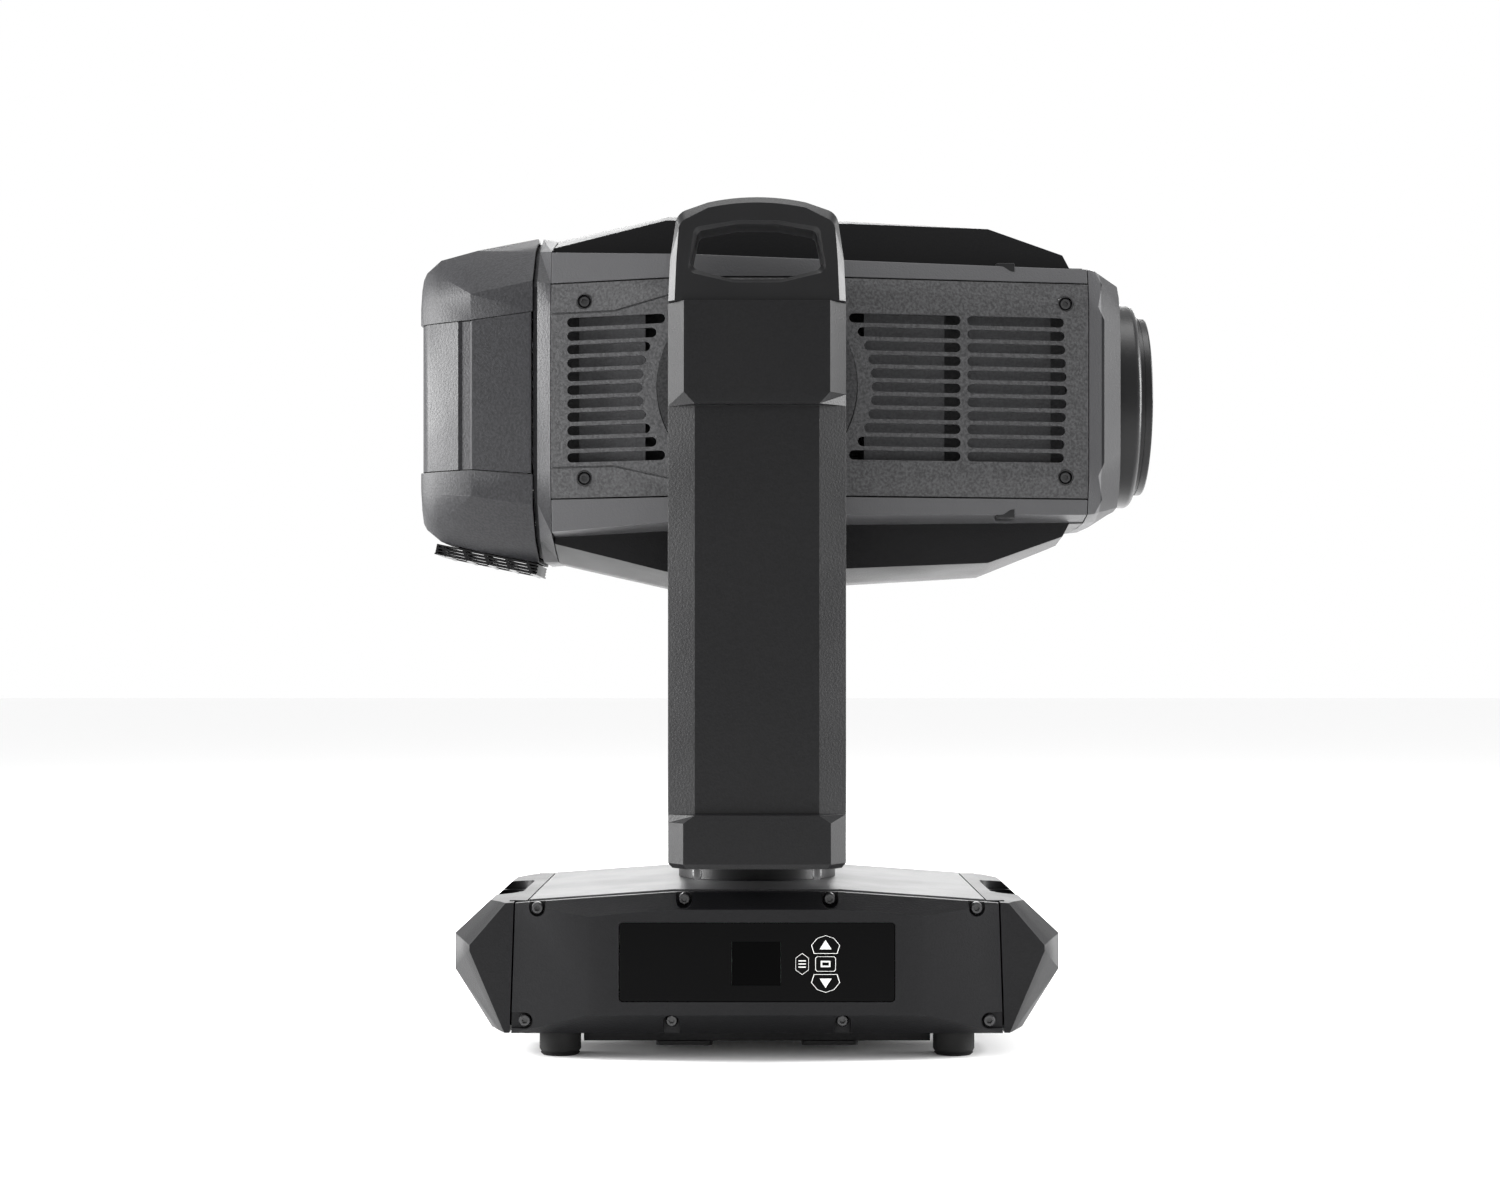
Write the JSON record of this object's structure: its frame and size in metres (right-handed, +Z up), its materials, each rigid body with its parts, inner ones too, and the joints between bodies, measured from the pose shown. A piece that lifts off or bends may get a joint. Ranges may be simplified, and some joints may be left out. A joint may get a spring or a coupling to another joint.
{
  "type": "moving head light",
  "caption": "Weatherproof stage light: a vented head with a round front lens tilts between the arms of a yoke, which pans on a base with a control window and carrying grips.",
  "frame": {"origin": "on the floor under the feet, on the pan axis", "axes": "+Z up along the pan axis, +X the way the lens looks at rest, +Y the tilt axis, from the control window side to the connector side"},
  "size_m": [0.547, 0.444, 0.62],
  "materials": {
    "textured_coat": "fine textured powder coat",
    "grey_coat": "fine textured powder coat",
    "black_plastic": "fine grain",
    "gloss_black": "gloss",
    "rubber": "matt",
    "steel": "satin",
    "aluminium": "satin",
    "lens_glass": "polished",
    "circuit_board": "satin",
    "screen": "polished"
  },
  "bodies": {
    "base": {"base_tray": "textured_coat", "bracket_sockets": "black_plastic", "rubber_feet": "rubber", "front_panel": "textured_coat", "rear_panel": "textured_coat", "base_top_plate": "grey_coat", "end_cap_left": "textured_coat", "end_cap_right": "textured_coat", "base_screws": "steel", "control_overlay": "gloss_black", "display": "screen", "control_board": "circuit_board", "power_supply": "steel", "power_inlet": "black_plastic", "signal_sockets": "black_plastic", "turntable": "black_plastic", "pan_pulley": "aluminium"},
    "up_key": {"key_up": "gloss_black"},
    "down_key": {"key_down": "gloss_black"},
    "menu_key": {"key_menu": "gloss_black"},
    "enter_key": {"key_enter": "gloss_black"},
    "yoke": {"yoke_frame": "textured_coat", "yoke_base_cover": "grey_coat", "arm_cover_near": "grey_coat", "arm_cover_far": "grey_coat", "handle_near": "black_plastic", "handle_far": "black_plastic", "arm_screws": "steel", "pan_bearing": "steel", "tilt_bearings": "steel", "pan_motor": "black_plastic", "tilt_motor": "black_plastic", "pan_belt": "rubber", "tilt_belt": "rubber", "driver_board": "circuit_board"},
    "pan_drive_pulley": {"pan_motor_pulley": "aluminium"},
    "tilt_drive_pulley": {"tilt_motor_pulley": "aluminium"},
    "pan_lock_pin": {"pan_lock": "steel"},
    "tilt_lock_pin": {"tilt_lock": "steel"},
    "head": {"head_frame": "textured_coat", "side_cover_near": "grey_coat", "side_cover_far": "grey_coat", "head_top_cover": "textured_coat", "head_bottom_cover": "textured_coat", "rear_housing": "grey_coat", "rear_cap_top": "grey_coat", "rear_cap_bottom": "grey_coat", "intake_grille": "black_plastic", "front_bezel": "textured_coat", "lens_barrel": "black_plastic", "front_lens": "lens_glass", "head_screws": "steel", "tilt_hubs": "grey_coat", "tilt_pulley": "aluminium", "heat_sink": "aluminium", "led_engine": "aluminium"},
    "fan": {"fan_rotor": "black_plastic"},
    "gobo_disc": {"gobo_wheel": "steel"},
    "zoom_group": {"zoom_carriage": "textured_coat"},
    "focus_group": {"focus_carriage": "textured_coat"}
  },
  "joints": [
    {"name": "pan", "type": "hinge", "parent": "base", "child": "yoke", "pos_m": [0, 0, 0], "axis": [0, 0, 1], "range_deg": [-270, 270]},
    {"name": "tilt", "type": "hinge", "parent": "yoke", "child": "head", "pos_m": [0, 0, 0.48], "axis": [0, 1, 0], "range_deg": [-220, 40]},
    {"name": "pan_motor_spin", "type": "hinge", "parent": "yoke", "child": "pan_drive_pulley", "pos_m": [0, 0.095, 0], "axis": [0, 0, 1], "range_deg": [-972, 972]},
    {"name": "tilt_motor_spin", "type": "hinge", "parent": "yoke", "child": "tilt_drive_pulley", "pos_m": [0, 0, 0.3], "axis": [0, 1, 0], "range_deg": [-880, 160]},
    {"name": "pan_lock_slide", "type": "slide", "parent": "yoke", "child": "pan_lock_pin", "axis": [0, 0, -1], "range_m": [0, 0.007]},
    {"name": "tilt_lock_slide", "type": "slide", "parent": "yoke", "child": "tilt_lock_pin", "axis": [0, -1, 0], "range_m": [0, 0.006]},
    {"name": "fan_spin", "type": "hinge", "parent": "head", "child": "fan", "pos_m": [-0.204, 0, 0.39], "axis": [0, 0, 1], "continuous": true},
    {"name": "gobo_wheel_spin", "type": "hinge", "parent": "head", "child": "gobo_disc", "pos_m": [-0.098, 0, 0.446], "axis": [1, 0, 0], "continuous": true},
    {"name": "zoom_slide", "type": "slide", "parent": "head", "child": "zoom_group", "axis": [1, 0, 0], "range_m": [-0.025, 0.07]},
    {"name": "focus_slide", "type": "slide", "parent": "head", "child": "focus_group", "axis": [1, 0, 0], "range_m": [-0.035, 0.04]},
    {"name": "up_press", "type": "slide", "parent": "base", "child": "up_key", "axis": [0, 1, 0], "range_m": [0, 0.0008], "stiffness_N_per_m": 1500, "springref_m": -0.0004},
    {"name": "down_press", "type": "slide", "parent": "base", "child": "down_key", "axis": [0, 1, 0], "range_m": [0, 0.0008], "stiffness_N_per_m": 1500, "springref_m": -0.0004},
    {"name": "menu_press", "type": "slide", "parent": "base", "child": "menu_key", "axis": [0, 1, 0], "range_m": [0, 0.0008], "stiffness_N_per_m": 1500, "springref_m": -0.0004},
    {"name": "enter_press", "type": "slide", "parent": "base", "child": "enter_key", "axis": [0, 1, 0], "range_m": [0, 0.0008], "stiffness_N_per_m": 1500, "springref_m": -0.0004}
  ],
  "couplings": [
    {"joint": "pan_motor_spin", "follows": "pan", "ratio": -3.6},
    {"joint": "tilt_motor_spin", "follows": "tilt", "ratio": 4}
  ]
}
